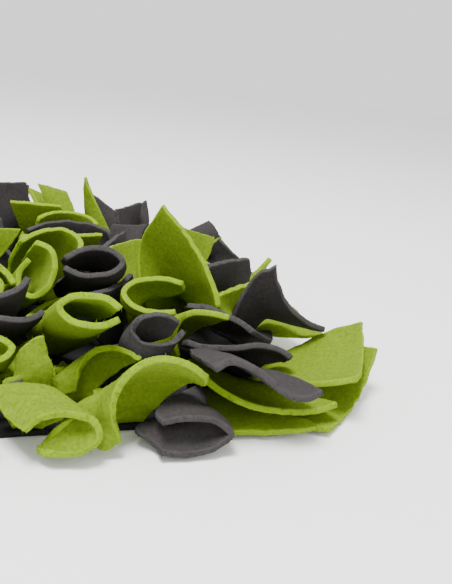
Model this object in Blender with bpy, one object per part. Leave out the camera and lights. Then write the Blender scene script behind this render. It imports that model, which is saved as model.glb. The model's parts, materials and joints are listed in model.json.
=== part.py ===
"""Snuffle mat: strips of felt, two petals each, sewn over a square felt base.

Units in the tables are millimetres and degrees. x runs to the right, y to the back, z up;
the mat lies on z = 0 with the middle of its base at the origin.
"""
import math
import random
from collections import namedtuple
from functools import lru_cache

import bmesh
import bpy
import numpy as np
from mathutils.bvhtree import BVHTree

FELT = 3.0             # thickness of the felt, mm
BASE = 262.0           # side of the square base sheet
FOOT_LIMIT = 123.0     # furthest a seam may lie from the middle of the base
SEAT = 0.4             # air between the base and the sewn-down part of a strip
FOOT_Z = FELT + SEAT + FELT / 2
FOOT_HALF = 5.0        # half the sewn-down length of a strip
GATHER = 13.0          # width of a strip where the seam gathers it
ROWS, COLUMNS = 3, 8   # facets along one petal and across it
EYE = np.array([2.0, -360.0, 156.0])

Petal = namedtuple("Petal", "left right curl fold wave turn squash tilt spiral rise ease",
                   defaults=(0, 0, 0, 0, 1.0, 0, 0, 0.9, 0.9))
Strip = namedtuple("Strip", "colour x y run first second rank", defaults=((2, 2),))

# A strip is sewn down at (x, y) with its length along run (degrees) and stands up as two petals.
# A petal is set by the left and right corner of its free edge, curl (degrees over the edge),
# fold (how tight the middle is), wave (degrees of an S), turn and squash (a roll's start, height).
STRIPS = [
    Strip("grey", -12, -114, 180,
          Petal((-32, -147, 12), (-1, -148, 12), curl=-330, squash=0.5, rise=0.5),
          Petal((-2, -126, 10), (21, -120, 22), rise=0.6), (3, 2)),
    Strip("green", 16, -120, -90,
          Petal((-2, -148, 12), (27, -149, 12), curl=-280, turn=-65, squash=0.55, rise=0.4),
          Petal((9, -110, 38), (3, -106, 20), curl=-150), (3, 2)),
    Strip("green", 50, -119, -90, Petal((39, -147, 3), (74, -141, 29), curl=-160, fold=2), None,
          (2, 1)),
    Strip("green", 32, -92, -90,
          Petal((20, -117, 11), (50, -114, 26), curl=-120, fold=2, rise=1.1), None),
    Strip("grey", 74, -116, -90,
          Petal((52, -148, 9), (82, -149, 9), curl=250, turn=90, squash=0.4, rise=0.6), None),
    Strip("green", 106, -112, -90, Petal((82, -150, 3), (131, -151, 3), rise=0.4),
          Petal((76, -138, 29), (141, -145, 16), curl=65, rise=1.1), (2, 3)),
    Strip("green", 118, -98, -45, Petal((132, -147, 4), (176, -108, 25), curl=70, rise=0.4),
          Petal((151, -133, 23), (176, -88, 32), curl=60), (3, 3)),
    Strip("grey", 98, -88, -90, Petal((80, -132, 30), (134, -135, 17), wave=80, rise=1.2),
          Petal((69, -118, 31), (122, -119, 28), wave=-60)),
    Strip("grey", 102, -66, -90, Petal((75, -88, 38), (102, -112, 38), curl=-50),
          Petal((124, -82, 62), (160, -81, 24), curl=60, tilt=60), (2, 3)),
    Strip("grey", 114, -26, -90, Petal((90, -56, 48), (127, -31, 48), curl=-30), None),
    Strip("grey", 108, 28, 0, Petal((122, 16, 47), (150, 10, 22), curl=20), None),
    Strip("green", -8, -92, 180, Petal((-28, -107, 30), (-4, -109, 30), curl=-330, squash=0.5),
          None),
    Strip("grey", -22, -68, -90, Petal((-30, -98, 38), (10, -92, 38), wave=50),
          Petal((-30, -85, 51), (1, -73, 51), curl=120)),
    Strip("grey", 54, -82, -90,
          Petal((46, -106, 34), (69, -109, 34), curl=310, turn=-80, squash=0.66, tilt=30), None),
    Strip("grey", 36, -44, -90, Petal((21, -76, 42), (60, -26, 42), curl=25), None),
    Strip("green", 12, -60, -90,
          Petal((17, -92, 43), (43, -101, 43), curl=325, fold=0.5, turn=-90, squash=0.48, tilt=20),
          Petal((2, -78, 31), (28, -62, 36), curl=-60)),
    Strip("green", -8, -30, 0,
          Petal((0, -58, 53), (16, -66, 53), curl=-330, turn=-140, squash=1.25, tilt=20,
                spiral=0.3),
          Petal((-38, -55, 46), (-5, -72, 46), curl=-100)),
    Strip("grey", 38, -20, -120,
          Petal((18, -50, 50), (48, -50, 51), curl=320, turn=90, squash=0.5, tilt=15),
          Petal((31, -36, 50), (57, 5, 51))),
    Strip("green", 14, 4, -90, Petal((-3, -7, 46), (27, -30, 46), curl=-170),
          Petal((-2, 0, 48), (44, 2, 50))),
    Strip("green", 62, -62, -80, Petal((72, -109, 22), (93, -113, 46), curl=-115, fold=5),
          Petal((46, -77, 50), (76, -89, 50), curl=240, turn=-90, squash=0.62)),
    Strip("green", 68, -26, -45, Petal((70, -42, 80), (102, -71, 35), curl=-30),
          Petal((46, -20, 48), (80, 2, 50), curl=-110), (3, 2)),
    Strip("green", 114, -50, 180, Petal((90, -66, 42), (131, -38, 42), curl=-20),
          Petal((146, -30, 28), (166, -66, 14))),
    Strip("green", 112, 4, 0, Petal((152, -4, 40), (162, 28, 22)), None),
    Strip("green", 92, 6, -60, Petal((92, 24, 52), (126, 40, 40), curl=-20),
          Petal((82, -12, 50), (115, -20, 35), curl=-40)),
    Strip("grey", 46, 28, 180, Petal((1, 20, 46), (50, 18, 47), curl=-110),
          Petal((56, 48, 44), (78, 42, 46))),
    Strip("green", 20, 54, -90, Petal((8, 42, 48), (44, 34, 47), curl=-120),
          Petal((-10, 56, 55), (22, 52, 54))),
    Strip("green", 36, 78, 0, Petal((39, 82, 68), (55, 68, 30)),
          Petal((8, 104, 57), (28, 96, 54))),
    Strip("grey", -26, 62, 0, Petal((-60, 70, 62), (0, 72, 64)),
          Petal((-24, 98, 55), (2, 92, 58))),
    Strip("grey", 66, 66, 0, Petal((45, 112, 52), (62, 86, 44)),
          Petal((60, 66, 50), (80, 86, 51))),
    Strip("grey", 94, 70, 0, Petal((80, 90, 40), (87, 104, 50)),
          Petal((96, 72, 40), (104, 78, 45))),
    Strip("green", -30, -2, -90, Petal((-45, 4, 50), (-2, 10, 50)), None),
]


def unit(vector):
    return vector / np.linalg.norm(vector, axis=-1, keepdims=True)


def ramp(t):
    t = np.clip(t, 0, 1)
    return t * t * (3 - 2 * t)


@lru_cache(maxsize=40000)
def outline(curl, fold, wave, turn, squash, spiral, share, across):
    """Free edge seen end-on, one unit long, at a share of its final bend."""
    v = np.linspace(-0.5, 0.5, 97)
    bend = v
    if fold:
        bend = 0.5 * np.tanh(fold * v) / math.tanh(fold / 2)
    angle = turn + curl * (bend + spiral * (v * v - 1 / 12)) + wave * (4 * v * v - 1 / 3)
    angle = np.radians(angle * share)
    middle = (angle[1:] + angle[:-1]) / 2
    x = np.concatenate([[0], np.cumsum(np.cos(middle))])
    y = np.concatenate([[0], np.cumsum(np.sin(middle))]) * (1 + (squash - 1) * share)
    if abs(curl) <= 180 and turn == 0:
        chord = math.atan2(y[-1] - y[0], x[-1] - x[0])
        c, s = math.cos(chord), math.sin(chord)
        x, y = x * c + y * s, y * c - x * s
        x, y = x - (x[0] + x[-1]) / 2, y - (y[0] + y[-1]) / 2
    else:
        x, y = x - (x.min() + x.max()) / 2, y - (y.min() + y.max()) / 2
    run = np.concatenate([[0], np.cumsum(np.hypot(np.diff(x), np.diff(y)))])
    at = np.linspace(0, run[-1], across + 1)
    return np.stack([np.interp(at, run, x), np.interp(at, run, y)], 1) / run[-1]


def edge(petal, share, across):
    return outline(petal.curl, petal.fold, petal.wave, petal.turn, petal.squash, petal.spiral,
                   float(share), across)


def leaf(strip, side, rows=ROWS, columns=COLUMNS):
    """Middle surface of one petal, root row first; also its edge width and its winding."""
    petal = strip.first if side > 0 else strip.second
    run = math.radians(strip.run)
    along = np.array([math.cos(run), math.sin(run), 0.0])
    root = np.array([strip.x, strip.y, FOOT_Z]) + side * FOOT_HALF * along
    left, right = np.array(petal.left, float), np.array(petal.right, float)
    chord = unit(right - left)
    pinch = np.array([-along[1], along[0], 0.0])
    sign = 1.0 if pinch @ chord >= 0 else -1.0
    middle = (left + right) / 2
    out = unit(middle - root)
    face = unit(np.cross(out, chord))
    tilt = math.radians(petal.tilt)
    bulge = face * math.cos(tilt) + np.cross(chord, face) * math.sin(tilt)
    free = edge(petal, 1.0, 96)
    if abs(petal.curl) <= 180 and petal.turn == 0:
        width = np.linalg.norm(right - left) / np.linalg.norm(free[-1] - free[0])
    else:
        width = np.linalg.norm(right - left) / np.ptp(free[:, 0])
    tip = middle + width * (free[:, 0].mean() * chord + free[:, 1].mean() * bulge)
    reach = np.linalg.norm(tip - root)
    up = np.array([0, 0, 1.0])
    t = np.linspace(0, 1, rows + 1)[:, None]
    centre = (2 * t**3 - 3 * t**2 + 1) * root + (3 * t**2 - 2 * t**3) * tip
    centre = centre + (t**3 - 2 * t**2 + t) * reach * petal.rise * up
    centre = centre + (t**3 - t**2) * reach * petal.ease * out
    share = ramp(t[:, 0] / 0.95)
    e1 = unit(sign * pinch + (chord - sign * pinch) * share[:, None])
    start = np.cross(up, sign * pinch)
    n = start + (bulge - start) * share[:, None]
    n = unit(n - (n * e1).sum(1, keepdims=True) * e1)
    wide = GATHER + (width - GATHER) * ramp((t[:, 0] + 0.02) / 0.6)
    rolled = abs(petal.curl) > 180 or petal.turn != 0
    bend = ramp(t[:, 0] / (0.75 if rolled else 0.95))
    grid = []
    for i in range(rows + 1):
        shape = edge(petal, 0.12 + 0.88 * bend[i], columns)
        shape = shape - shape.mean(0)
        grid.append(centre[i] + wide[i] * (shape[:, :1] * e1[i] + shape[:, 1:] * n[i]))
    return np.array(grid), width, sign


CELL = 2.0             # side of the cells that record which places are taken
CORNER = np.array([-200.37, -200.21, -10.13])
CROSS = 3.0            # what one crossing of two facets costs when a petal is placed
CELLS = (200, 200, 60)
AROUND = np.array([(a, b, c) for a in (-1, 0, 1) for b in (-1, 0, 1) for c in (-1, 0, 1)])


def places(points, around=False):
    """Numbers of the 2 mm cells that points lie in, or of those cells and their neighbours."""
    cell = np.floor((points.reshape(-1, 3) - CORNER) / CELL).astype(int)
    cell = np.clip(cell, 1, np.array(CELLS) - 2)
    if around:
        cell = cell[:, None] + AROUND[None]
    number = (cell[..., 0] * CELLS[1] + cell[..., 1]) * CELLS[2] + cell[..., 2]
    return np.unique(number) if around else number


def samples(strip, side):
    return leaf(strip, side, 12, 16)[0]


def crowding(filled, grid):
    """Sample points of a petal that lie in cells taken by others, or under the base's top."""
    inside = np.abs(grid[2:, :, :2]).max(-1) < BASE / 2 + 2
    low = np.where(inside, FELT * 1.5 + 0.3, FELT / 2) - 0.7
    return filled[places(grid)].sum() + 2 * (grid[2:, :, 2] < low).sum()


def clash(one, other):
    """How far two petals of one strip run into each other."""
    a, b = one[4:].reshape(-1, 3), other[4:].reshape(-1, 3)
    square = (a * a).sum(1)[:, None] + (b * b).sum(1)[None] - 2 * a @ b.T
    return 0.5 * (square < 12).sum() + CROSS * len(mesh_of(one).overlap(mesh_of(other)))


def mesh_of(grid):
    return BVHTree.FromPolygons(grid[::2, ::2].reshape(-1, 3).tolist(), FACETS)


FACETS = [(i * 9 + j, i * 9 + j + 1, i * 9 + j + 10, i * 9 + j + 9)
          for i in range(6) for j in range(8)]


class Web:
    """The facets of all seated petals, for finding where a petal would pass through others."""

    def __init__(self, count):
        self.trees = [None] * (2 * count)
        self.low = np.full((2 * count, 3), 1e6)
        self.high = np.full((2 * count, 3), -1e6)

    def put(self, i, grids):
        for k, grid in enumerate(grids):
            corners = grid[::2, ::2].reshape(-1, 3)
            self.trees[2 * i + k] = BVHTree.FromPolygons(corners.tolist(), FACETS)
            self.low[2 * i + k], self.high[2 * i + k] = corners.min(0), corners.max(0)

    def crossings(self, i, grid):
        corners = grid[::2, ::2].reshape(-1, 3)
        near = (self.low < corners.max(0)).all(1) & (self.high > corners.min(0)).all(1)
        near[2 * i:2 * i + 2] = False
        rows = np.nonzero(near)[0]
        if not len(rows):
            return 0
        tree = BVHTree.FromPolygons(corners.tolist(), FACETS)
        return sum(len(tree.overlap(self.trees[row])) for row in rows)


def tails(strips, rng, tries=60):
    """Give each strip without a second petal a short tail low in the pile, where there is room."""
    filled = np.zeros(CELLS[0] * CELLS[1] * CELLS[2], np.int16)
    for strip in strips:
        filled[places(samples(strip, 1), True)] += 1
        if strip.second:
            filled[places(samples(strip, -1), True)] += 1
    result = []
    for strip in strips:
        if strip.second is None:
            first = samples(strip, 1)
            filled[places(first, True)] -= 1
            best = None
            for attempt in range(tries):
                way = math.radians(rng.uniform(0, 360))
                reach, high = rng.uniform(13, 20), rng.uniform(14, 24)
                middle = np.array([strip.x + reach * math.cos(way),
                                   strip.y + reach * math.sin(way), high])
                arm = 12 * np.array([-math.sin(way), math.cos(way), rng.choice([-0.3, 0, 0.3])])
                tail = Petal(tuple(middle - arm), tuple(middle + arm), curl=rng.choice([-90, 60]))
                option = strip._replace(second=tail, rank=(strip.rank[0], 1))
                grid = samples(option, -1)
                cost = crowding(filled, grid) + clash(grid, first) + 12 * (middle[1] < strip.y)
                if best is None or cost < best[0]:
                    best = cost, option, grid
            strip = best[1]
            filled[places(first, True)] += 1
            filled[places(best[2], True)] += 1
        result.append(strip)
    return result


def toward(petal, step):
    """The petal moved along the line of sight, its size kept in proportion."""
    ends = []
    for corner in (petal.left, petal.right):
        arm = np.array(corner, float) - EYE
        ends.append(tuple(EYE + arm * (1 + step / np.linalg.norm(arm))))
    return petal._replace(left=ends[0], right=ends[1])


def seat(strips, fixed, sweeps, seed=3):
    """Shift seams and bow petals so that strips clear each other; the first fixed ones move least."""
    filled = np.zeros(CELLS[0] * CELLS[1] * CELLS[2], np.int16)
    now, depth, taken = list(strips), [(0, 0)] * len(strips), []
    web = Web(len(strips))

    def trouble(i, grid):
        return crowding(filled, grid) + CROSS * web.crossings(i, grid)

    for strip in now:
        grids = samples(strip, 1), samples(strip, -1)
        taken.append(places(np.concatenate(grids), True))
        filled[taken[-1]] += 1
        web.put(len(taken) - 1, grids)

    def strain(i, strip, steps):
        keep, home = i < fixed, strips[i]
        cost = (0.3 if keep else 0.1) * math.hypot(strip.x - home.x, strip.y - home.y)
        cost += (0.4 if keep else 0.08) * (abs(steps[0]) + abs(steps[1]))
        cost += (10 if keep else 2) * (strip.run != home.run)
        cost += 500 * (max(abs(strip.x), abs(strip.y)) > FOOT_LIMIT)
        for petal, plan in ((strip.first, home.first), (strip.second, home.second)):
            cost += 1.5 * (abs(petal.rise - plan.rise) + abs(petal.ease - plan.ease))
        return cost

    for sweep in range(sweeps):
        order = list(range(len(now)))
        random.Random(seed + sweep).shuffle(order)
        for i in order:
            filled[taken[i]] -= 1
            home, steps = strips[i], depth[i]

            def whole(strip):
                a, b = samples(strip, 1), samples(strip, -1)
                cost = trouble(i, a) + trouble(i, b) + clash(a, b)
                return cost + strain(i, strip, steps), strip, a, b

            best = whole(now[i])
            if best[0] > 2:
                limit = 15 if i < fixed else 26
                for dx in (-12, -6, 0, 6, 12):
                    for dy in (-12, -6, 0, 6, 12):
                        option = now[i]._replace(x=now[i].x + dx, y=now[i].y + dy)
                        if math.hypot(option.x - home.x, option.y - home.y) < limit:
                            best = min(best, whole(option), key=lambda row: row[0])
                turned = best[1]
                for turn in (-45, 45, 180):
                    option = turned._replace(run=turned.run + turn)
                    best = min(best, whole(option), key=lambda row: row[0])
                for k, name in enumerate(("first", "second")):
                    begin, other = best[1], best[3 - k]
                    still, plan = trouble(i, other), getattr(home, name)
                    low = (plan.left[2] + plan.right[2]) / 2 < 20 and i < fixed
                    for step in ((-4, 0, 4) if low else (-12, -6, 0, 6, 12)):
                        moved = toward(plan, step)
                        pair = (step, steps[1]) if k == 0 else (steps[0], step)
                        for rise in (plan.rise - 0.35, plan.rise, plan.rise + 0.35):
                            for ease in (0.4, 0.9, 1.3):
                                petal = moved._replace(rise=rise, ease=ease)
                                option = begin._replace(**{name: petal})
                                grid = samples(option, 1 - 2 * k)
                                cost = still + crowding(filled, grid) + strain(i, option, pair)
                                if cost < best[0] - 0.01:
                                    cost += clash(grid, other) + CROSS * web.crossings(i, grid)
                                if cost < best[0] - 0.01:
                                    both = (grid, other) if k == 0 else (other, grid)
                                    best = (cost, option) + both
                                    chosen = pair
                                    depth[i] = chosen
                    steps = depth[i]
            now[i] = best[1]
            taken[i] = places(np.concatenate(best[2:]), True)
            filled[taken[i]] += 1
            web.put(i, best[2:])
    return now, filled


SHAPES = [("roll", 310, -90, 0.6), ("roll", 300, 90, 0.7), ("roll", -310, 0, 0.8),
          ("arch", 120, 0, 1), ("arch", -120, 0, 1), ("arch", -90, 0, 1),
          ("wave", 60, 0, 1), ("wave", -60, 0, 1), ("peak", 30, 0, 1), ("peak", -30, 0, 1)]
HALF = {"roll": 14, "arch": 22, "wave": 26, "peak": 28}


def any_petal(rng, x, y, way, outer):
    """A petal of one of the ten shapes, reaching way (degrees) from a seam at x, y."""
    kind, bend, turn, squash = rng.choice(SHAPES)
    way = math.radians(way)
    reach, high = rng.uniform(18, 36), rng.uniform(40, 54)
    if y > 10:
        high -= 16 if x > 0 else 8
    if outer:
        reach, high = reach + 14, rng.uniform(8, 30)
    swing = way + math.pi / 2 + math.radians(rng.uniform(-30, 30))
    slope = rng.choice([-30, 30]) if kind == "peak" else rng.uniform(-15, 15)
    slope = math.radians(slope) * (0.4 if outer else 1)
    middle = np.array([x + reach * math.cos(way), y + reach * math.sin(way), high])
    arm = np.array([math.cos(swing) * math.cos(slope), math.sin(swing) * math.cos(slope),
                    math.sin(slope)]) * HALF[kind] * rng.choice([1, 0.8])
    corners = []
    for corner in (middle - arm, middle + arm):
        corner[:2] = np.clip(corner[:2], -148, 148)
        corner[2] = max(corner[2], 6)
        corners.append(tuple(corner))
    if kind == "wave":
        return Petal(corners[0], corners[1], wave=bend)
    return Petal(corners[0], corners[1], curl=bend, turn=turn, squash=squash)


def fill(strips, filled, total, rng, apart=25, tries=40, most=12):
    """Sew further strips into the free parts of the base, each where its petals find room."""
    seams = [(strip.x, strip.y) for strip in strips]
    added = []
    for attempt in range(6000):
        if len(strips) + len(added) >= total:
            break
        gap = apart if attempt < 3000 else apart * 0.9
        x, y = rng.uniform(-FOOT_LIMIT, FOOT_LIMIT), rng.uniform(-FOOT_LIMIT, FOOT_LIMIT)
        if min(math.hypot(x - a, y - b) for a, b in seams) < gap:
            continue
        outer = max(abs(x), abs(y)) > 94
        strip = Strip(rng.choice(["green", "grey"]), x, y, 0, None, None, (0, 0))
        outward = 90 * round(math.degrees(math.atan2(y, x)) / 90)
        grids = []
        for side in (1, -1):
            best = None
            for option in range(tries):
                if side < 0:
                    way = strip.run + 180 + rng.uniform(-80, 80)
                elif outer:
                    way = outward + rng.uniform(-30, 30)
                else:
                    way = rng.uniform(0, 360)
                petal = any_petal(rng, x, y, way, outer and side > 0)
                if side > 0:
                    trial = strip._replace(run=way, first=petal)
                else:
                    trial = strip._replace(second=petal)
                grid = samples(trial, side)
                cost = crowding(filled, grid)
                if side < 0:
                    cost += clash(grid, grids[0])
                if best is None or cost < best[0]:
                    best = cost, trial, grid
                if cost < 1:
                    break
            if best[0] > most:
                break
            strip = best[1]
            grids.append(best[2])
        if len(grids) == 2:
            seams.append((x, y))
            filled[places(np.concatenate(grids), True)] += 1
            added.append(strip)
    return added


CLEAR = 4.3            # least distance kept between two middle surfaces
ROW_STEPS, COLUMN_STEPS = 4, 2


def between(count, steps):
    """Weights that put steps samples in each of count facets."""
    at = np.linspace(0, count, count * steps + 1)
    lower = np.minimum(at.astype(int), count - 1)
    table = np.zeros((len(at), count + 1))
    table[np.arange(len(at)), lower] = 1 - (at - lower)
    table[np.arange(len(at)), lower + 1] = at - lower
    return table


def near_pairs(points, reach):
    """All pairs of points closer than reach, found through a sorted list of cells."""
    cell = np.floor((points - points.min(0)) / reach).astype(np.int64) + 1
    wide = cell.max(0) + 3
    key = (cell[:, 0] * wide[1] + cell[:, 1]) * wide[2] + cell[:, 2]
    order = np.argsort(key, kind="stable")
    key = key[order]
    here = np.arange(len(key))
    firsts, seconds = [], []
    for dx, dy in ((0, 0), (0, 1), (1, -1), (1, 0), (1, 1)):
        shift = (dx * wide[1] + dy) * wide[2]
        begin = here + 1 if (dx, dy) == (0, 0) else np.searchsorted(key, key + shift - 1, "left")
        count = np.maximum(np.searchsorted(key, key + shift + 1, "right") - begin, 0)
        offset = np.arange(count.sum()) - np.repeat(np.cumsum(count) - count, count)
        firsts.append(np.repeat(here, count))
        seconds.append(np.repeat(begin, count) + offset)
    first, second = order[np.concatenate(firsts)], order[np.concatenate(seconds)]
    gap = points[first] - points[second]
    distance = np.sqrt((gap * gap).sum(1))
    keep = distance < reach
    return first[keep], second[keep], gap[keep], distance[keep]


def cage_of(strip):
    """Both petals of a strip as one grid of facet corners, from one free edge to the other."""
    first, width, sign = leaf(strip, 1)
    second, width, other = leaf(strip, -1)
    if sign != other:
        second = second[:, ::-1]
    return np.concatenate([first[::-1], second])


def per_row(value, count):
    return np.repeat(value.reshape(count, 2), ROWS + 1, axis=1)[:, :, None, None]


def upright(target):
    """Every petal standing straight up from its seam, as wide as its gathers."""
    result = target.copy()
    for seam, step in ((ROWS, -1), (ROWS + 1, 1)):
        line = target[:, seam::step].mean(2)
        length = np.linalg.norm(np.diff(line, axis=1), axis=-1).sum(1)
        lean = line[:, -1] - line[:, 0]
        lean[:, 2] = 0
        for k in range(ROWS + 1):
            rise = np.array([0, 0, 1]) * (length * k / ROWS)[:, None] + lean * 0.12 * (k / ROWS) ** 2
            result[:, seam + k * step] = target[:, seam] + rise[:, None]
    return result


def space_out(strips, steps=60, settle=30):
    """Open all petals from upright, low ones first, holding them clear of each other."""
    count = len(strips)
    target = np.array([cage_of(strip) for strip in strips])
    seams = np.stack([target[:, ROWS].mean(1), target[:, ROWS + 1].mean(1)], 1)
    root = np.repeat(seams, ROWS + 1, axis=1)[:, :, None]
    bud = upright(target)
    tip = target[:, [0, -1], :, 2].mean(2).reshape(-1)
    late = (tip - tip.min()) / (tip.max() - tip.min())
    rank = np.array([strip.rank for strip in strips]).reshape(-1)
    down, over = between(2 * ROWS + 1, ROW_STEPS), between(COLUMNS, COLUMN_STEPS)
    nr, nc = len(down), len(over)
    owner = np.repeat(np.arange(count), nr * nc)
    row = np.tile(np.repeat(np.arange(nr), nc), count)
    column = np.tile(np.arange(nc), count * nr)
    middle, edge_row = (nr - 1) / 2, ROW_STEPS * ROWS
    petal_of = owner * 2 + (row > middle)
    sewn = (row > edge_row) & (row < nr - 1 - edge_row)
    rest = [np.linalg.norm(np.diff(target, axis=a), axis=-1, keepdims=True) for a in (1, 2)]
    loose = np.ones((1, 2 * ROWS + 2, 1, 1))
    loose[:, ROWS:ROWS + 2] = 0
    away, size = np.zeros_like(target), np.ones(2 * count)
    for k in range(steps + settle):
        opened = ramp((k + 1) / steps * 1.5 - 0.5 * late)
        for again in range(2):
            plan = root + per_row(size, count) * (target - root)
            plan = bud + per_row(opened, count) * (plan - bud)
            cage = plan + away
            flat = np.einsum("ra,nabk,cb->nrck", down, cage, over, optimize=True).reshape(-1, 3)
            first, second, gap, distance = near_pairs(flat, CLEAR)
            apart = np.abs(row[first] - row[second]) * 4.2
            apart = apart + np.abs(column[first] - column[second]) * 3.0
            by_seam = (np.abs(row[first] - middle) < 7) & (np.abs(row[second] - middle) < 7)
            keep = owner[first] != owner[second]
            if k > steps * 0.6:
                keep = keep | ((apart > 15) & ~by_seam)
            first, second, gap, distance = first[keep], second[keep], gap[keep], distance[keep]
            a, b = rank[petal_of[first]], rank[petal_of[second]]
            part = np.where(a == b, 0.5, np.where(a > b, 0.25, 0.75))
            push = gap / (distance[:, None] + 1e-6) * (CLEAR - distance)[:, None]
            total = np.zeros_like(flat)
            for axis in range(3):
                total[:, axis] += np.bincount(first, push[:, axis] * part, len(flat))
                total[:, axis] -= np.bincount(second, push[:, axis] * (1 - part), len(flat))
            hits = np.bincount(first, minlength=len(flat)) + np.bincount(second, minlength=len(flat))
            total /= np.maximum(hits, 1)[:, None]
            at_seam = (np.abs(row - middle) < 4.1) & (hits > 0)
            slide = np.zeros((count, 2))
            for axis in range(2):
                slide[:, axis] += np.bincount(owner[at_seam], total[at_seam, axis], count)
            slide /= np.maximum(np.bincount(owner[at_seam], minlength=count), 6)[:, None]
            inside = np.abs(flat[:, :2]).max(1) < BASE / 2 + 2.5
            floor = np.where(inside, FELT * 1.5 + 0.5, FELT / 2 + 0.15)
            low = np.maximum(floor - flat[:, 2], 0) * ~sewn
            total[:, 2] += low
            touched = ((hits > 0) | (low > 0)).astype(float).reshape(count, nr, nc)
            total = total.reshape(count, nr, nc, 3)
            moved = np.einsum("ra,nrck,cb->nabk", down, total, over, optimize=True)
            weight = np.einsum("ra,nrc,cb->nab", down, touched, over, optimize=True)[..., None]
            cage = cage + 1.3 * moved / (weight + 0.4) * loose
            cage[:, ROWS:ROWS + 2, :, :2] += slide[:, None, None] * 1.2
            seam = cage[:, ROWS:ROWS + 2, :, :2].mean((1, 2))
            back = np.clip(seam, -FOOT_LIMIT - 1, FOOT_LIMIT + 1) - seam
            cage[:, ROWS:ROWS + 2, :, :2] += back[:, None, None]
            if k > steps * 0.7:
                for again in range(2):
                    for axis in (1, 2):
                        span = np.diff(cage, axis=axis)
                        length = np.linalg.norm(span, axis=-1, keepdims=True)
                        scale = per_row(size, count)[:, :-1] if axis == 1 else per_row(size, count)
                        span *= 0.3 * (1 - scale * rest[axis - 1] / np.maximum(length, 1e-6))
                        pull = np.zeros_like(cage)
                        if axis == 1:
                            pull[:, :-1] += span
                            pull[:, 1:] -= span
                        else:
                            pull[:, :, :-1] += span
                            pull[:, :, 1:] -= span
                        cage = cage + pull * loose
            away = cage - plan
            mean = away.copy()
            mean[:, 1:-1] += 0.12 * (away[:, 2:] + away[:, :-2] - 2 * away[:, 1:-1])
            mean[:, :, 1:-1] += 0.12 * (away[:, :, 2:] + away[:, :, :-2] - 2 * away[:, :, 1:-1])
            away = np.where(loose > 0, mean * (0.985 if k < steps else 0.997), away)
        if k > steps + 8:
            cross = (distance < 3.1) & (owner[first] != owner[second])
            lose = np.zeros(2 * count)
            for mine, yours in ((first, second), (second, first)):
                a, b = petal_of[mine[cross]], petal_of[yours[cross]]
                np.add.at(lose, a[rank[a] <= rank[b]], 1)
            small = np.where(rank > 0, 0.86, 0.6)
            size = np.where((lose > 0) & (size > small),
                            size - np.minimum(0.003 + 0.002 * lose, 0.012), size)
    return target, root, away, size


def arrange(total=59):
    """All strips of the mat, with the shape, size and spacing that keep them apart."""
    planned = tails(STRIPS, random.Random(11))
    seated, filled = seat(planned, len(planned), 4)
    strips = seated + fill(seated, filled, total, random.Random(7))
    strips, filled = seat(strips, len(planned), 1)
    return strips, space_out(strips)


MM = 0.001
GAP = 0.32             # least air between two finished pieces


def solid(cage):
    """Corners and faces of a strip: its middle surface given the felt's thickness."""
    rows, columns = cage.shape[:2]
    padded = np.pad(cage, ((1, 1), (1, 1), (0, 0)), mode="reflect", reflect_type="odd")
    along = padded[2:, 1:-1] - padded[:-2, 1:-1]
    across = padded[1:-1, 2:] - padded[1:-1, :-2]
    normal = unit(np.cross(along, across))
    side_a, side_b = cage[1:, :-1] - cage[:-1, :-1], cage[:-1, 1:] - cage[:-1, :-1]
    facet = unit(np.cross(side_a, side_b))
    wide = np.pad(facet, ((1, 1), (1, 1), (0, 0)), mode="edge")
    around = np.stack([wide[i:i + rows, j:j + columns] for i in (0, 1) for j in (0, 1)])
    even = (around * normal).sum(-1).mean(0)[..., None]
    step = normal * (FELT / 2) / np.clip(even, 0.72, 1)
    corners = np.concatenate([(cage + step).reshape(-1, 3), (cage - step).reshape(-1, 3)])
    under = rows * columns
    faces = []
    for i in range(rows - 1):
        for j in range(columns - 1):
            a, b = i * columns + j, (i + 1) * columns + j
            faces.append((a, b, b + 1, a + 1))
            faces.append((under + a, under + a + 1, under + b + 1, under + b))
    rim = [(0, j) for j in range(columns)] + [(i, columns - 1) for i in range(1, rows)]
    rim += [(rows - 1, j) for j in range(columns - 2, -1, -1)]
    rim += [(i, 0) for i in range(rows - 2, 0, -1)]
    loop = [i * columns + j for i, j in rim]
    for a, b in zip(loop, loop[1:] + loop[:1]):
        faces.append((a, b, under + b, under + a))
    return corners, faces


class Body:
    """A strip as facets, with what is needed to measure it against its neighbours."""

    def __init__(self, corners, faces):
        self.corners, self.faces = np.array(corners, float), faces
        self.tree = BVHTree.FromPolygons(self.corners.tolist(), self.faces)
        self.centres = np.array([self.corners[list(face)].mean(0) for face in self.faces])
        ends = np.array([self.corners[list(face[:4])] for face in self.faces if len(face) == 4])
        self.normals = np.zeros((len(self.faces), 3))
        four = [k for k, face in enumerate(self.faces) if len(face) == 4]
        self.normals[four] = np.cross(ends[:, 2] - ends[:, 0], ends[:, 3] - ends[:, 1])
        self.normals /= np.maximum(np.linalg.norm(self.normals, axis=1, keepdims=True), 1e-9)
        self.probes = np.concatenate([self.corners, self.centres])
        self.low, self.high = self.corners.min(0), self.corners.max(0)


def contacts(one, other):
    """Where one body cuts the other (with both normals) or is closer than GAP (with the way out)."""
    if (one.low > other.high + GAP).any() or (other.low > one.high + GAP).any():
        return [], []
    cuts = [(one.centres[a], one.normals[a], other.normals[b])
            for a, b in one.tree.overlap(other.tree)]
    near = []
    for probe, mesh, way in ((one, other, 1), (other, one, -1)):
        close = (probe.probes > mesh.low - GAP).all(1) & (probe.probes < mesh.high + GAP).all(1)
        for point in probe.probes[close]:
            hit = mesh.tree.find_nearest(point.tolist(), GAP)
            if hit[0] is not None and hit[3] > 1e-4:
                near.append((point, way * (point - np.array(hit[0])) / hit[3]))
    return cuts, near


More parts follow.
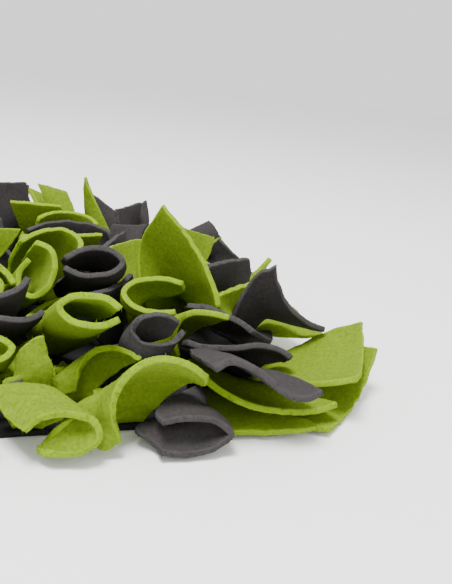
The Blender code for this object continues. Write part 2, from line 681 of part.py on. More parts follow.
def part_pieces(strips, target, root, away, size):
    """Ease petals apart, draw them back, and at last leave a strip out, until no two touch."""
    count = len(strips)
    rank = np.array([strip.rank for strip in strips]).reshape(-1)
    present = [True] * count

    def cages():
        return root + per_row(size, count) * (target - root + away)

    away = away / per_row(size, count)
    cage = cages()
    bodies = [Body(*solid(cage[i])) for i in range(count)]
    sheet = Body(*base_sheet())
    stale, touching, resting = set(range(count)), {}, {}
    for attempt in range(90):
        for i in range(count):
            if i in stale and present[i]:
                resting[i] = contacts(bodies[i], sheet)
            for j in range(i + 1, count):
                if present[i] and present[j] and (i in stale or j in stale):
                    touching[i, j] = contacts(bodies[i], bodies[j])
        bad = {pair: found for pair, found in touching.items()
               if (found[0] or found[1]) and present[pair[0]] and present[pair[1]]}
        low = {i: found for i, found in resting.items() if (found[0] or found[1]) and present[i]}
        stale = set()
        for i, found in low.items():
            for point in [row[0] for row in found[0] + found[1]]:
                row = np.linalg.norm(cage[i].mean(1) - point, axis=1).argmin()
                row = {ROWS: ROWS - 1, ROWS + 1: ROWS + 2}.get(row, row)
                away[i, row, :, 2] += 0.1
                stale.add(i)
        for (i, j), (cuts, near) in bad.items():
            for k, way in ((i, 1), (j, -1)):
                lines = cage[k].mean(1)
                other = j if k == i else i
                mine, yours = max(rank[2 * k:2 * k + 2]), max(rank[2 * other:2 * other + 2])
                for point, push in near:
                    gap = np.linalg.norm(cage[k] - point, axis=-1)
                    row, column = np.unravel_index(gap.argmin(), gap.shape)
                    if row not in (ROWS, ROWS + 1):
                        away[k, row] += way * push * 0.06
                        away[k, row, column] += way * push * 0.06
                        stale.add(k)
                for cut in cuts:
                    row = np.linalg.norm(lines - cut[0], axis=1).argmin()
                    normal = cut[2] if k == i else cut[1]
                    half = slice(0, ROWS) if row <= ROWS else slice(ROWS + 2, None)
                    side = np.sign((cage[k, half].reshape(-1, 3).mean(0) - cut[0]) @ normal)
                    if row not in (ROWS, ROWS + 1):
                        share = 0.12 if mine > yours else 0.25
                        away[k, row] += side * normal * share / (1 + 0.2 * len(cuts))
                    stale.add(k)
                if cuts and attempt > (24 if mine > yours else 8):
                    gap = np.linalg.norm(lines[None] - np.array([c[0] for c in cuts])[:, None],
                                         axis=-1)
                    for row in set(gap.argmin(1)):
                        end = 2 * k + int(row > ROWS)
                        size[end] -= 0.012
        for k in stale:
            if size[2 * k:2 * k + 2].min() < 0.4:
                present[k] = False
        if not bad and not low:
            break
        cage = cages()
        for k in stale:
            bodies[k] = Body(*solid(cage[k]))
    for i, j in bad:
        if present[i] and present[j]:
            present[max(i, j)] = False
    return [i for i in range(count) if present[i]], bodies


def material(name, colour):
    """A plain dull surface of one colour."""
    result = bpy.data.materials.new(name)
    result.use_nodes = True
    shader = result.node_tree.nodes["Principled BSDF"]
    shader.inputs["Base Color"].default_value = colour + (1,)
    shader.inputs["Roughness"].default_value = 0.95
    return result


def body_object(name, corners, faces, colour, collection):
    mesh = bpy.data.meshes.new(name)
    mesh.from_pydata((np.array(corners) * MM).tolist(), [], [list(face) for face in faces])
    work = bmesh.new()
    work.from_mesh(mesh)
    bmesh.ops.triangulate(work, faces=work.faces)
    bmesh.ops.recalc_face_normals(work, faces=work.faces)
    work.to_mesh(mesh)
    work.free()
    mesh.materials.append(material(name, colour))
    item = bpy.data.objects.new(name, mesh)
    collection.objects.link(item)
    return item


def base_sheet():
    """The square sheet under the pile, its corners rounded."""
    half, radius, ring = BASE / 2, 14.0, []
    for quarter in range(4):
        turn = math.radians(90 * quarter)
        for step in range(7):
            angle = turn + math.radians(15 * step)
            x = (half - radius) * math.copysign(1, math.cos(turn + 0.7)) + radius * math.cos(angle)
            y = (half - radius) * math.copysign(1, math.sin(turn + 0.7)) + radius * math.sin(angle)
            ring.append((x, y))
    count = len(ring)
    corners = [(x, y, 0) for x, y in ring] + [(x, y, FELT) for x, y in ring]
    faces = [list(range(count))[::-1], list(range(count, 2 * count))]
    for i in range(count):
        j = (i + 1) % count
        faces.append((i, j, count + j, count + i))
    return corners, faces


COLOURS = {"green": (0.36, 0.48, 0.05), "grey": (0.095, 0.085, 0.09)}


def main():
    for item in list(bpy.data.objects):
        bpy.data.objects.remove(item)
    collection = bpy.data.collections.new("snuffle_mat")
    bpy.context.scene.collection.children.link(collection)
    corners, faces = base_sheet()
    body_object("base", corners, faces, (0.03, 0.03, 0.03), collection)
    strips, spacing = arrange()
    kept, bodies = part_pieces(strips, *spacing)
    for number, i in enumerate(kept, 1):
        body = bodies[i]
        name = "strip_%02d" % number
        body_object(name, body.corners, body.faces, COLOURS[strips[i].colour], collection)


main()
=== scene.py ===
# %% [markdown]
# # A felt snuffle mat
# A snuffle mat is a square of felt with strips of felt sewn over it. Each strip is fixed
# across its middle, so its two ends stand up as petals, and treats are hidden between them.
# The solids already hold every petal's bend as a coarse sheet of flat facets. This lesson
# turns each of them into soft thick felt with cut edges, then lights the mat in a plain studio.

# %% Tools and the frame
import json
import math

import bpy
import numpy as np
from mathutils import Matrix, Vector


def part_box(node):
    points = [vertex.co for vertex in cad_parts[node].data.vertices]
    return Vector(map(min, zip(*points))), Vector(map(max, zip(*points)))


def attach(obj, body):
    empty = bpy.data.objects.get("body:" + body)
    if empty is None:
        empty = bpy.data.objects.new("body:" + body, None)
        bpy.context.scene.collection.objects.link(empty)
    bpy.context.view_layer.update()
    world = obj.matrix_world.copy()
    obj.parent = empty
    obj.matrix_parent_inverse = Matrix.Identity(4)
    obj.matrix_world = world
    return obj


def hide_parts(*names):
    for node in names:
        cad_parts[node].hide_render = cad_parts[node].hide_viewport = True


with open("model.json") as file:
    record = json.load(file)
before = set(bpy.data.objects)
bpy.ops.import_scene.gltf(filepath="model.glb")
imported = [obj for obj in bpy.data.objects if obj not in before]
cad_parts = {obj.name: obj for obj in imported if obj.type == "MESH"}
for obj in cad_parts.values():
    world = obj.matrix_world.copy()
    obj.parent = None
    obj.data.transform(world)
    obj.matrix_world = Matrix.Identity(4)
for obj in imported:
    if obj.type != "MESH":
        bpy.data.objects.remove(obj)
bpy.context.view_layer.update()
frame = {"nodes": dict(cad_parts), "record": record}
MM = 0.001      # shapes are worked out in millimetres and drawn in metres
strip_names = sorted(name for name in frame["nodes"] if name.startswith("strip"))
print("strips of felt:", len(strip_names))

# %% [markdown]
# ## Camera
# The mat is seen from close by and a little above, at its near right corner, with the
# horizon leaning a few degrees. A turn about the upright axis, a downward pitch and a roll
# give the three directions of the camera, which become the columns of its matrix. The lens
# follows from a focal length in pixels, because the sensor's length spans the render's height.

# %% Camera
CAMERA_PLACE = (2, -360, 156)       # mm from the middle of the mat, on the floor
YAW, PITCH, ROLL = -19, 20.4, 7.3   # degrees
SENSOR_LENGTH = 36                  # mm
RENDER_HEIGHT = 584                 # pixels
FOCAL_LENGTH = 616                  # pixels
NEAREST_DRAWN = 0.01                # m


def aim(place, yaw, pitch, roll):
    """Matrix of a camera at place (mm) turned by yaw, tipped down by pitch, then rolled."""
    yaw, pitch, roll = map(math.radians, (yaw, pitch, roll))
    ahead = Vector((-math.sin(yaw) * math.cos(pitch), math.cos(yaw) * math.cos(pitch),
                    -math.sin(pitch)))
    level = Vector((math.cos(yaw), math.sin(yaw), 0))
    above = level.cross(ahead)
    right = level * math.cos(roll) + above * math.sin(roll)
    up = above * math.cos(roll) - level * math.sin(roll)
    turned = Matrix((right, up, -ahead)).transposed().to_4x4()
    return Matrix.Translation(Vector(place) * MM) @ turned


camera_data = bpy.data.cameras.new("camera")
camera_data.sensor_width = SENSOR_LENGTH
camera_data.lens = SENSOR_LENGTH * FOCAL_LENGTH / RENDER_HEIGHT
camera_data.clip_start = NEAREST_DRAWN
camera = bpy.data.objects.new("camera", camera_data)
camera.matrix_world = aim(CAMERA_PLACE, YAW, PITCH, ROLL)
bpy.context.scene.collection.objects.link(camera)
bpy.context.scene.camera = camera
print("camera stands", round(camera.location.length, 3), "m from the middle of the mat")

# %% [markdown]
# ## Reading a strip back from its solid
# A strip's solid is two faceted skins, 3 mm apart, joined by a rim all round its cut edge.
# The rim is a closed ladder of 30 rungs, each about as long as the felt is thick, and the
# surface folds square along both of its rails. The walk round it with the squarest folds
# gives the outline. From there the skins fill in row by row, because the next corner of a
# facet is the one that touches both of its neighbours.

# %% Corners and triangles of a solid
FELT = 3.0                          # thickness, mm
ROWS, COLUMNS = 7, 8                # facets along a strip and across it
RUNGS = 2 * (ROWS + COLUMNS)
SHORTEST_RUNG, LONGEST_RUNG = 2.9, 4.3      # mm, since a rung can lean where the felt twists


def welded(item):
    """Corner points (mm) and triangles of a solid, with equal points counted once."""
    mesh = item.data
    points = np.zeros(len(mesh.vertices) * 3, np.float32)
    mesh.vertices.foreach_get("co", points)
    points = points.reshape(-1, 3).astype(float) / MM
    hundredths = np.round(points, 2)
    _, first, same = np.unique(hundredths, axis=0, return_index=True, return_inverse=True)
    same = same.reshape(-1)
    triangles = [tuple(int(same[v]) for v in face.vertices) for face in mesh.polygons]
    return points[first], triangles


# %% What lies on both sides of an edge
class Facets:
    """The triangles of a solid, with those beside each edge and the way each one faces."""

    def __init__(self, points, triangles):
        self.points, self.beside, self.facing = points, {}, {}
        for triangle in triangles:
            a, b, c = points[list(triangle)]
            across = np.cross(b - a, c - a)
            self.facing[triangle] = across / np.linalg.norm(across)
            for a, b in zip(triangle, triangle[1:] + triangle[:1]):
                self.beside.setdefault(frozenset((a, b)), []).append(triangle)

    def length(self, edge):
        a, b = edge
        return float(np.linalg.norm(self.points[a] - self.points[b]))

    def could_be_rung(self, edge):
        return SHORTEST_RUNG < self.length(edge) < LONGEST_RUNG

    def flatness(self, a, b):
        """0 where the surface folds square over an edge, 1 where it runs on flat."""
        one, other = self.beside[frozenset((a, b))]
        return abs(float(self.facing[one] @ self.facing[other]))

    def over(self, a, b, triangle):
        """The triangle on the far side of an edge, and its third corner."""
        pair = self.beside[frozenset((a, b))]
        beyond = pair[0] if pair[1] == triangle else pair[1]
        return beyond, next(corner for corner in beyond if corner not in (a, b))

    def onward(self, rung, came):
        """Rungs that can follow this one, each with the triangle that was crossed to it."""
        a, b = rung
        ahead, x = self.over(a, b, came)
        for stay, upper in ((b, True), (a, False)):
            beyond, y = self.over(stay, x, ahead)
            new = (x, y) if upper else (y, x)
            if self.could_be_rung(new):
                yield new, beyond


# %% Walking round the rim
def one_rung_on(solid, reached):
    """Every place one rung further than those reached, with its least cost and way there."""
    further = {}
    for place, (cost, _) in reached.items():
        upper, lower = place[0]
        for new in solid.onward(*place):
            next_upper, next_lower = new[0]
            total = (cost + solid.flatness(upper, next_upper)
                     + solid.flatness(lower, next_lower))
            if new not in further or total < further[new][0]:
                further[new] = total, place
    return further


def rims(solid):
    """Closed walks round the cut edge, each a list of rungs from upper to lower corner."""
    starts = [tuple(edge) for edge in solid.beside if solid.could_be_rung(edge)]
    for start in sorted(starts, key=lambda edge: abs(solid.length(edge) - FELT)):
        layers = [{(start, solid.beside[frozenset(start)][0]): (0.0, None)}]
        for _ in range(RUNGS):
            layers.append(one_rung_on(solid, layers[-1]))
        closed = [place for place in layers[-1] if place[0] == start]
        if closed:
            place, rungs = min(closed, key=lambda place: layers[-1][place][0]), []
            for layer in layers[:0:-1]:
                rungs.append(place[0])
                place = layer[place][1]
            if len({corner for rung in rungs for corner in rung}) == 2 * RUNGS:
                yield rungs


# %% Filling in both skins
def fill_skin(edge, links, outside):
    """Corner grid of one skin from its outline, or nothing if the outline is turned wrong."""
    grid = [[None] * (COLUMNS + 1) for _ in range(ROWS + 1)]
    for i in range(ROWS + 1):
        grid[i][0] = edge[i]
        grid[i][COLUMNS] = edge[2 * ROWS + COLUMNS - i]
    for j in range(COLUMNS + 1):
        grid[ROWS][j] = edge[ROWS + j]
        grid[0][j] = edge[-j]
    known = set(edge) | outside
    for i in range(ROWS - 1):
        for j in range(COLUMNS - 1):
            found = (links[grid[i][j + 1]] & links[grid[i + 1][j]]) - known
            if len(found) != 1:
                return None
            grid[i + 1][j + 1] = found.pop()
            known.add(grid[i + 1][j + 1])
    return np.array(grid)


def skins(points, triangles):
    """Corner grids of the upper and the lower skin of a strip."""
    links = {}
    for triangle in triangles:
        for corner in triangle:
            links.setdefault(corner, set()).update(triangle)
    for rungs in rims(Facets(points, triangles)):
        for begin in range(RUNGS // 2):
            turned = rungs[begin:] + rungs[:begin]
            upper, lower = [rung[0] for rung in turned], [rung[1] for rung in turned]
            one = fill_skin(upper, links, set(lower))
            other = fill_skin(lower, links, set(upper))
            if one is not None and other is not None:
                return points[one], points[other]
    raise ValueError("no skins found")


sheets = {}
for name in strip_names:
    upper, lower = skins(*welded(frame["nodes"][name]))
    sheets[name] = (upper + lower) / 2
print("middle surfaces read:", len(sheets))

# %% [markdown]
# ## From facets to soft felt
# Between the corners of the facets the cloth runs in smooth curves, so each petal is
# resampled with Catmull-Rom weights, which pass through every corner. The sewn middle stays
# straight. Felt is 3 mm thick and is cut with scissors: its edge stands square, and only
# its two corners wear round. So a short profile is swept round the outline, flat in the
# middle and rounded over the last half millimetre on each side.

# %% Smooth curves through the corners
PETAL_ROWS = ROWS // 2              # facets along one petal, the sewn row lies between two
FINE_ROWS, FINE_COLUMNS = 6, 4      # steps in each facet of a petal
SEAM_ROWS = 2                       # steps along the sewn row


def curve_weights(count, steps):
    """Weights of count + 1 corners for a smooth curve with steps points in each facet."""
    at = np.linspace(0, count, count * steps + 1)
    low = np.minimum(at.astype(int), count - 1)
    t = at - low
    table = np.zeros((len(at), count + 3))
    share = ((-1, -0.5 * t + t * t - 0.5 * t**3), (0, 1 - 2.5 * t * t + 1.5 * t**3),
             (1, 0.5 * t + 2 * t * t - 1.5 * t**3), (2, -0.5 * t * t + 0.5 * t**3))
    for shift, weight in share:
        table[np.arange(len(at)), low + shift + 1] += weight
    ends = np.zeros((count + 3, count + 1))
    ends[1:-1] = np.eye(count + 1)
    ends[0, :2] = 2, -1
    ends[-1, -2:] = -1, 2
    return table @ ends


def smooth(grid):
    """Fine middle surface of a strip: a petal, the sewn part and the other petal."""
    down, across = curve_weights(PETAL_ROWS, FINE_ROWS), curve_weights(COLUMNS, FINE_COLUMNS)
    first = np.einsum("ia,abk,jb->ijk", down, grid[:PETAL_ROWS + 1], across)
    second = np.einsum("ia,abk,jb->ijk", down, grid[PETAL_ROWS + 1:], across)
    share = np.linspace(0, 1, SEAM_ROWS + 1)[1:-1, None, None]
    seam = first[-1] + share * (second[0] - first[-1])
    return np.concatenate([first, seam, second])


# %% Directions on a surface
def unit(vector):
    """Vectors of length 1 along the last axis."""
    return vector / np.maximum(np.linalg.norm(vector, axis=-1, keepdims=True), 1e-9)


def normals(grid):
    """Directions straight out of a surface at each of its points."""
    padded = np.pad(grid, ((1, 1), (1, 1), (0, 0)), mode="reflect", reflect_type="odd")
    along = padded[2:, 1:-1] - padded[:-2, 1:-1]
    across = padded[1:-1, 2:] - padded[1:-1, :-2]
    return unit(np.cross(along, across))


def outline_of(rows, columns):
    """Places on the grid's outline, in order, with the step that leads inwards from each."""
    walk = [(0, j, 1, 0) for j in range(columns)]
    walk += [(i, columns - 1, 0, -1) for i in range(1, rows)]
    walk += [(rows - 1, j, -1, 0) for j in range(columns - 2, -1, -1)]
    walk += [(i, 0, 0, 1) for i in range(rows - 2, 0, -1)]
    return walk


# %% The rim's rounded profile
# Each step of the profile: height over the middle surface and distance in from the cut, mm.
RIM = [(1.5, 0.75), (1.42, 0.28), (1.1, 0.04), (-1.1, 0.04), (-1.42, 0.28), (-1.5, 0.75)]
CORNER_ROUNDING = 1.6               # a strip's four corners wear more than its edges
ROOM = 0.5                          # the rim's share of a skin's last step, corners aside


def rim_layers(grid, up, wander):
    """Rings of points from the upper skin round the cut edge to the lower skin."""
    rows, columns = grid.shape[:2]
    walk = outline_of(rows, columns)
    at = np.array([[i, j] for i, j, _, _ in walk])
    inner = np.array([[i + a, j + b] for i, j, a, b in walk])
    edge, side = grid[at[:, 0], at[:, 1]], up[at[:, 0], at[:, 1]]
    out = edge - grid[inner[:, 0], inner[:, 1]]
    step = np.linalg.norm(out, axis=1)
    out = unit(out)
    corner = (np.roll(edge, -1, 0) - edge) + (np.roll(edge, 1, 0) - edge)
    sharp = np.array([i in (0, rows - 1) and j in (0, columns - 1) for i, j, _, _ in walk])
    out[sharp] = -unit(corner[sharp])
    edge = edge + out * wander[:, None]
    layers = []
    for height, inset in RIM:
        shift = np.minimum(inset, ROOM * step) * np.where(sharp, CORNER_ROUNDING, 1)
        layers.append(edge + side * height - out * shift[:, None])
    return layers


# %% Giving the surface its thickness
BORDER_NEARNESS = 0.2                   # nearness to the cut edge at the border of a skin, and the share of painted highlight there


def sheet_faces(rows, columns, outline):
    """Faces of both skins, and of the rim between them, whose outline is given in order."""
    count, ring = rows * columns, len(outline)
    faces = []
    for i in range(rows - 1):
        for j in range(columns - 1):
            a, b = i * columns + j, (i + 1) * columns + j
            faces.append((a, a + 1, b + 1, b))
            faces.append((count + a, count + b, count + b + 1, count + a + 1))
    between = [2 * count + k * ring + np.arange(ring) for k in range(len(RIM) - 2)]
    loops = [outline] + between + [outline + count]
    for one, other in zip(loops, loops[1:]):
        for k in range(ring):
            n = (k + 1) % ring
            faces.append((int(one[k]), int(other[k]), int(other[n]), int(one[n])))
    return faces


def thick_sheet(grid, wander):
    """Points, faces and nearness to the cut edge (0 to 1) of a sheet of felt."""
    rows, columns = grid.shape[:2]
    i, j = np.array([place[:2] for place in outline_of(rows, columns)]).T
    up = normals(grid)
    layers = rim_layers(grid, up, wander)
    top, under = grid + up * FELT / 2, grid - up * FELT / 2
    top[i, j], under[i, j] = layers[0], layers[-1]
    points = np.concatenate([top.reshape(-1, 3), under.reshape(-1, 3)] + layers[1:-1])
    edge_nearness = np.ones(len(points))
    skin = np.zeros((rows, columns))
    skin[i, j] = BORDER_NEARNESS
    edge_nearness[:2 * skin.size] = np.tile(skin.reshape(-1), 2)
    return points, sheet_faces(rows, columns, i * columns + j), edge_nearness


# %% [markdown]
# ## Felt
# The felt is needle-punched polyester: short dyed fibres tangled into a dense mat with no
# weave. It is matte and its colour is mottled at the size of the fibre clumps. A cut edge is
# painted a little paler than the faces, a painted highlight for the light caught by its fuzz.
# Noise at three sizes gives fibres, clumps and the lumps left by needling, and a trace of
# sheen stands for the down that is too fine to model.

# %% Colours and nodes
def linear(code):
    """sRGB hex to the linear values that a shader takes."""
    parts = [int(code[i:i + 2], 16) / 255 for i in (0, 2, 4)]
    return tuple(c / 12.92 if c <= 0.04045 else ((c + 0.055) / 1.055) ** 2.4 for c in parts)


def add(tree, kind, settings=(), links=()):
    """A node of that kind, with its settings and the sockets that feed it."""
    node = tree.nodes.new(kind)
    for key, value in dict(settings).items():
        if isinstance(key, str) and hasattr(node, key):
            setattr(node, key, value)
        else:
            node.inputs[key].default_value = value
    for key, socket in dict(links).items():
        tree.links.new(socket, node.inputs[key])
    return node


# %% Three felts of one make
FIBRE = 0.8                         # mm, a loose bundle, drawn coarse enough to show
CLUMP = 1.6                         # mm, fibres that were punched down together
LUMP = 9.0                          # mm, unevenness left by the needles
FIBRE_DEPTH, LUMP_DEPTH = 0.25, 1.0     # mm
DARK_TONE, LIGHT_TONE = 0.3, 0.72   # places on the clumps' noise where its two tones begin
EVENNESS = 0.35                     # how far the dye evens out the clumps' tones
MIX_FACTOR, MIX_A, MIX_B, COLOUR_A, COLOUR_B = 0, 2, 3, 6, 7    # sockets of a mix node


def noise(tree, place, size, settings):
    """Noise whose features are about size (mm) across."""
    settings = {"Scale": 1 / (size * MM)} | settings
    return add(tree, "ShaderNodeTexNoise", settings, {"Vector": place}).outputs["Fac"]


def felt(name, body, light, dark, edge, sheen):
    """Needle-punched felt in three tones of one dye, with a paler painted highlight on the fuzz
    of a cut edge.
    """
    material = bpy.data.materials.new(name)
    material.use_nodes = True
    tree = material.node_tree
    shader = tree.nodes["Principled BSDF"]
    place = add(tree, "ShaderNodeTexCoord").outputs["Object"]
    clump = noise(tree, place, CLUMP, {"Detail": 4.0, "Roughness": 0.65})
    lump = noise(tree, place, LUMP, {"Detail": 2.0})
    fibre = noise(tree, place, FIBRE, {"Detail": 3.0, "Distortion": 1.5})
    tone = add(tree, "ShaderNodeValToRGB", links={"Fac": clump})
    for stop, at, code in zip(tone.color_ramp.elements, (DARK_TONE, LIGHT_TONE), (dark, light)):
        stop.position = at
        stop.color = linear(code) + (1,)
    calm = add(tree, "ShaderNodeMix",
               {"data_type": "RGBA", MIX_FACTOR: EVENNESS, COLOUR_B: linear(body) + (1,)},
               {COLOUR_A: tone.outputs["Color"]})
    # Painted highlight: near a cut edge the colour is mixed toward the paler edge colour in
    # fibre-sized specks, for the light the fuzz catches.
    rim = add(tree, "ShaderNodeAttribute", {"attribute_name": "cut_edge"})
    painted_sheen_speck = add(tree, "ShaderNodeMath", {"operation": "MULTIPLY"},
                {0: rim.outputs["Fac"], 1: fibre})
    colour = add(tree, "ShaderNodeMix", {"data_type": "RGBA", COLOUR_B: linear(edge) + (1,)},
                 {MIX_FACTOR: painted_sheen_speck.outputs["Value"], COLOUR_A: calm.outputs[2]})
    tree.links.new(colour.outputs[2], shader.inputs["Base Color"])
    height = add(tree, "ShaderNodeMix", {"data_type": "FLOAT", MIX_FACTOR: 0.5},
                 {MIX_A: fibre, MIX_B: clump})
    fine = add(tree, "ShaderNodeBump", {"Strength": 0.55, "Distance": FIBRE_DEPTH * MM},
               {"Height": height.outputs[0]})
    coarse = add(tree, "ShaderNodeBump", {"Strength": 0.5, "Distance": LUMP_DEPTH * MM},
                 {"Height": lump, "Normal": fine.outputs["Normal"]})
    tree.links.new(coarse.outputs["Normal"], shader.inputs["Normal"])
    # Polyester's own IOR. A tangle of fibres scatters most of what it would mirror.
    shader.inputs["IOR"].default_value = 1.575
    shader.inputs["Specular IOR Level"].default_value = 0.105
    shader.inputs["Roughness"].default_value = 0.95
    shader.inputs["Sheen Weight"].default_value = sheen
    shader.inputs["Sheen Roughness"].default_value = 0.45
    shader.inputs["Sheen Tint"].default_value = linear(edge) + (1,)
    return material


# The last colour of each felt is its painted highlight for the fuzz of a cut edge, and also
# tints its sheen.
felts = {
    "felt_green": felt("polyester_felt_lime", "647B16", "76901C", "4F6212", "84A41A", 0.03),
    "felt_grey": felt("polyester_felt_charcoal", "363333", "3E3B3B", "2A2727", "474444", 0.04),
    # The base's near-black colour is painted shade, so that the gaps between petals read as
    # dark.
    "felt_base": felt("polyester_felt_painted_shade_black", "181718", "201F20", "111011", "2A282A", 0.03),
}
print("felts:", ", ".join(sorted(felts)))

# %% [markdown]
# ## Strips and loose fibres
# Scissors leave a strip's outline a little uneven, and needling leaves its faces a little
# wavy, so both are moved by small crossing waves. Single fibres work loose, most of all on a
# cut edge, and show as fuzz where a petal stands against a dark gap. Hair would be lost when
# the model is handed on, so each loose fibre is a closed three-sided spike in the same felt.

# %% A piece of felt
slots = {row["node"]: row["material_slot"] for row in frame["record"]["subparts"]}
mat_pieces = bpy.data.collections.new("snuffle_mat")
bpy.context.scene.collection.children.link(mat_pieces)


def mesh_piece(name, points, faces, edge_nearness, slot):
    """A smooth-shaded piece in metres, in its felt, riding on the mat."""
    mesh = bpy.data.meshes.new(name)
    mesh.from_pydata((np.asarray(points) * MM).tolist(), [], faces)
    mesh.polygons.foreach_set("use_smooth", [True] * len(mesh.polygons))
    layer = mesh.attributes.new("cut_edge", "FLOAT", "POINT")
    layer.data.foreach_set("value", np.asarray(edge_nearness, np.float32))
    mesh.materials.append(felts[slot])
    piece = bpy.data.objects.new(name, mesh)
    mat_pieces.objects.link(piece)
    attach(piece, "root")
    return piece


# %% Loose fibres
FIBRES = 1100                       # on each strip
EDGE_FUZZ = 16                      # how much denser they stand on a cut edge than on the faces
FIBRE_WIDTH = 0.4                   # mm at its root, a few fibres clinging together
SHORTEST, LONGEST = 0.8, 2.6        # mm from root to tip, before low ones are turned up
TANGLE = 0.9                        # how far fibres lean away from straight out of the felt
LEAST_RISE = 0.25                   # least rise off the felt, a share of the length drawn
ROOT_DEPTH = 0.2                    # mm of a fibre inside the felt, or a little less
LOWEST = 0.1                        # mm over the floor
SPIKE = [(0, 1, 2), (0, 2, 3), (0, 3, 1), (1, 3, 2)]      # faces over a tip and three feet


def fuzz(points, faces, edge_nearness, rng):
    """Corners of loose fibres: closed spikes that stand mostly on the cut edge."""
    quads = np.array(faces)
    corners = points[quads]
    across = np.cross(corners[:, 2] - corners[:, 0], corners[:, 3] - corners[:, 1])
    on_edge = edge_nearness[quads].max(1) > BORDER_NEARNESS
    share = np.linalg.norm(across, axis=1) * np.where(on_edge, EDGE_FUZZ, 1)
    pick = rng.choice(len(quads), FIBRES, p=share / share.sum())
    u, v = rng.random((2, FIBRES, 1))
    a, b, c, d = np.moveaxis(corners[pick], 1, 0)
    root = (a * (1 - u) + b * u) * (1 - v) + (d * (1 - u) + c * u) * v
    out = unit(across[pick])
    lean = unit(out + TANGLE * rng.normal(size=(FIBRES, 3)))
    lean += np.maximum(0, LEAST_RISE - (lean * out).sum(1))[:, None] * out
    side = unit(np.cross(lean, rng.normal(size=(FIBRES, 3)))) * FIBRE_WIDTH / 2
    other = np.cross(unit(lean), side)
    tip = root + lean * rng.uniform(SHORTEST, LONGEST, (FIBRES, 1))
    foot = root - ROOT_DEPTH * lean
    spikes = np.stack([tip, foot + side, foot - side / 2 + other, foot - side / 2 - other], 1)
    spikes[..., 2] = np.maximum(spikes[..., 2], LOWEST)
    return spikes.reshape(-1, 3)


# %% Waves left by scissors and needles
WAVES = 7                           # crossing waves in one uneven surface
WAVE_SPREAD = 2.65                  # their sum is divided by this, about the root of WAVES
LEAST, MOST = 0.7, 1.5              # lengths of the waves, as shares of the one asked for
FACE_WAVE, FACE_WAVELENGTH = 0.22, 17       # mm
CUT_WAVE, CUT_WAVELENGTH = 0.3, 8           # mm
SNIP = 0.12                         # mm, unevenness from one snip to the next


def waves(points, size, rng):
    """A smooth random height at each point, from a few crossing waves of about that size."""
    total = np.zeros(points.shape[:-1])
    for _ in range(WAVES):
        way = unit(rng.normal(size=3)) * 2 * math.pi / (size * rng.uniform(LEAST, MOST))
        total += np.sin(points @ way + rng.uniform(0, 2 * math.pi))
    return total / WAVE_SPREAD


def uneven_strip(sheet, rng):
    """Points, faces and nearness to the cut edge of a strip, needled and cut unevenly."""
    grid = smooth(sheet)
    grid = grid + normals(grid) * (FACE_WAVE * waves(grid, FACE_WAVELENGTH, rng))[..., None]
    i, j = np.array([place[:2] for place in outline_of(*grid.shape[:2])]).T
    wander = CUT_WAVE * waves(grid[i, j], CUT_WAVELENGTH, rng) + SNIP * rng.normal(size=len(i))
    return thick_sheet(grid, wander)


# %% The size that a strip was cut to
ALLOWANCE = 1.0                     # mm, a rough one: the curves add 0.1 to 5.5 to the facets


def flat_size(sheet):
    """Width, length and area of a strip laid flat, in mm, measured over its facets."""
    width = np.linalg.norm(np.diff(sheet, axis=1), axis=-1).sum(1).max() + ALLOWANCE
    length = np.linalg.norm(np.diff(sheet, axis=0), axis=-1).sum(0).max() + ALLOWANCE
    one = sheet[1:, 1:] - sheet[:-1, :-1]
    other = sheet[1:, :-1] - sheet[:-1, 1:]
    area = np.linalg.norm(np.cross(one, other), axis=-1).sum() / 2
    return width, length, area


# %% Making the strips
FIRST_SEED = 100                    # each strip has its own seed, so each is uneven in its way

fibres = {}
for number, name in enumerate(strip_names):
    rng = np.random.default_rng(FIRST_SEED + number)
    points, faces, edge_nearness = uneven_strip(sheets[name], rng)
    fibres.setdefault(slots[name], []).append(fuzz(points, faces, edge_nearness, rng))
    piece = mesh_piece("felt_" + name, points, faces, edge_nearness, slots[name])
    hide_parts(name)
    width, length, area = flat_size(sheets[name])
for slot, sets in fibres.items():
    points = np.concatenate(sets)
    faces = [(n + a, n + b, n + c) for n in range(0, len(points), 4) for a, b, c in SPIKE]
    colour = slot.removeprefix("felt_")
    mesh_piece("loose_fibres_" + colour, points, faces, np.ones(len(points)), slot)
print("strips made:", len(strip_names), "with", FIBRES, "loose fibres each")

# %% [markdown]
# ## Base
# The strips are sewn to one square of felt, a flat sheet with rounded corners, which shows in
# the gaps between petals, at its border and from below. Its near-black colour is painted
# shade, so that those gaps read as dark. Its outline is drawn in a little at each step of the
# rim, so that its cut edge is rounded like a strip's.

# %% The base sheet
CORNER_RADIUS = 14.0                # mm
CORNER_STEPS = 8
# Each step of the base's profile: height over the floor and distance in from the cut, mm.
BASE_RIM = [(0, 0.7), (0.5, 0.15), (FELT / 2, 0), (FELT - 0.5, 0.15), (FELT, 0.7)]
BASE_NEARNESS = 0.3                     # all of the base counts as this near to a cut edge, so it is specked with painted highlight


def rounded_square(half, radius):
    """Outline of a square with rounded corners, in order."""
    outline = []
    for quarter, (x, y) in enumerate(((1, 1), (-1, 1), (-1, -1), (1, -1))):
        centre = Vector(((half - radius) * x, (half - radius) * y))
        for step in range(CORNER_STEPS + 1):
            angle = math.radians(90 * quarter + 90 * step / CORNER_STEPS)
            spoke = radius * Vector((math.cos(angle), math.sin(angle)))
            outline.append((centre + spoke).to_tuple())
    return outline


def flat_sheet(half, outline):
    """Points and faces of a flat sheet with a rounded cut edge."""
    count, last = len(outline), (len(BASE_RIM) - 1) * len(outline)
    points, faces = [], []
    for height, inset in BASE_RIM:
        scale = (half - inset) / half
        points += [(x * scale, y * scale, height) for x, y in outline]
    for level in range(0, last, count):
        for k in range(count):
            a, b = level + k, level + (k + 1) % count
            faces.append((a, b, b + count, a + count))
    faces.append(tuple(range(count))[::-1])
    faces.append(tuple(range(last, last + count)))
    return points, faces


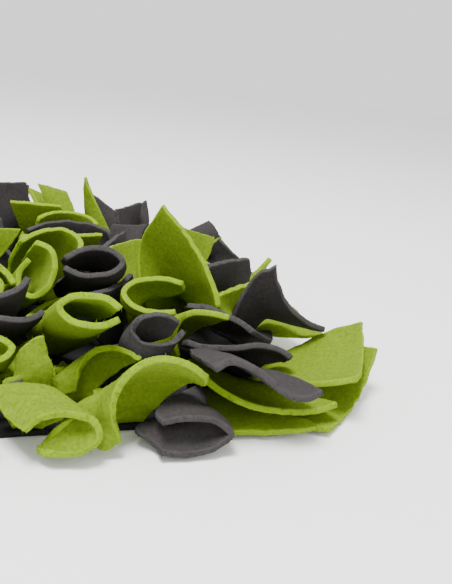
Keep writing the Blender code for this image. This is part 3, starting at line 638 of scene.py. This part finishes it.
low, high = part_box("base")
half = (high.x - low.x) / 2 / MM
points, faces = flat_sheet(half, rounded_square(half, CORNER_RADIUS))
base = mesh_piece("felt_base_sheet", points, faces, np.full(len(points), BASE_NEARNESS), "felt_base")
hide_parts("base")
print("base is", round(2 * half), "mm square")

# %% [markdown]
# ## Studio
# The mat lies on a white board under a white world. One soft light high above its near
# left corner makes the tops of the petals bright and the gaps between them dark, and a much
# weaker one from the right lightens the shade on the grey felt.

# %% Floor
FLOOR_HALF = 3                      # m, far enough for its rim to lie near the horizon

floor_mesh = bpy.data.meshes.new("floor")
floor_corners = [(x * FLOOR_HALF, y * FLOOR_HALF, 0)
                 for x, y in ((-1, -1), (1, -1), (1, 1), (-1, 1))]
floor_mesh.from_pydata(floor_corners, [], [(0, 1, 2, 3)])
floor = bpy.data.objects.new("floor", floor_mesh)
board = bpy.data.materials.new("matt_white_board")
board.use_nodes = True
board_shader = board.node_tree.nodes["Principled BSDF"]
board_shader.inputs["Base Color"].default_value = linear("FAFAF9") + (1,)
board_shader.inputs["Roughness"].default_value = 0.9
floor_mesh.materials.append(board)
bpy.context.scene.collection.objects.link(floor)


# %% Lights and world
def soft_light(name, place, target, size, power):
    """A square area light at place that faces target, in metres and watts."""
    data = bpy.data.lights.new(name, "AREA")
    data.size, data.energy = size, power
    light = bpy.data.objects.new(name, data)
    light.location = place
    light.rotation_euler = (Vector(target) - Vector(place)).to_track_quat("-Z", "Y").to_euler()
    bpy.context.scene.collection.objects.link(light)


soft_light("key", place=(-0.22, -0.25, 1.15), target=(0.04, -0.05, 0.03), size=0.4, power=27)
soft_light("fill", place=(0.9, -0.5, 0.6), target=(0.05, -0.05, 0.03), size=0.6, power=1.5)
world = bpy.data.worlds.new("studio")
world.use_nodes = True
background = world.node_tree.nodes["Background"]
background.inputs["Color"].default_value = (1, 1, 1, 1)
background.inputs["Strength"].default_value = 1.35
bpy.context.scene.world = world
print("lights:", ", ".join(sorted(light.name for light in bpy.data.lights)))
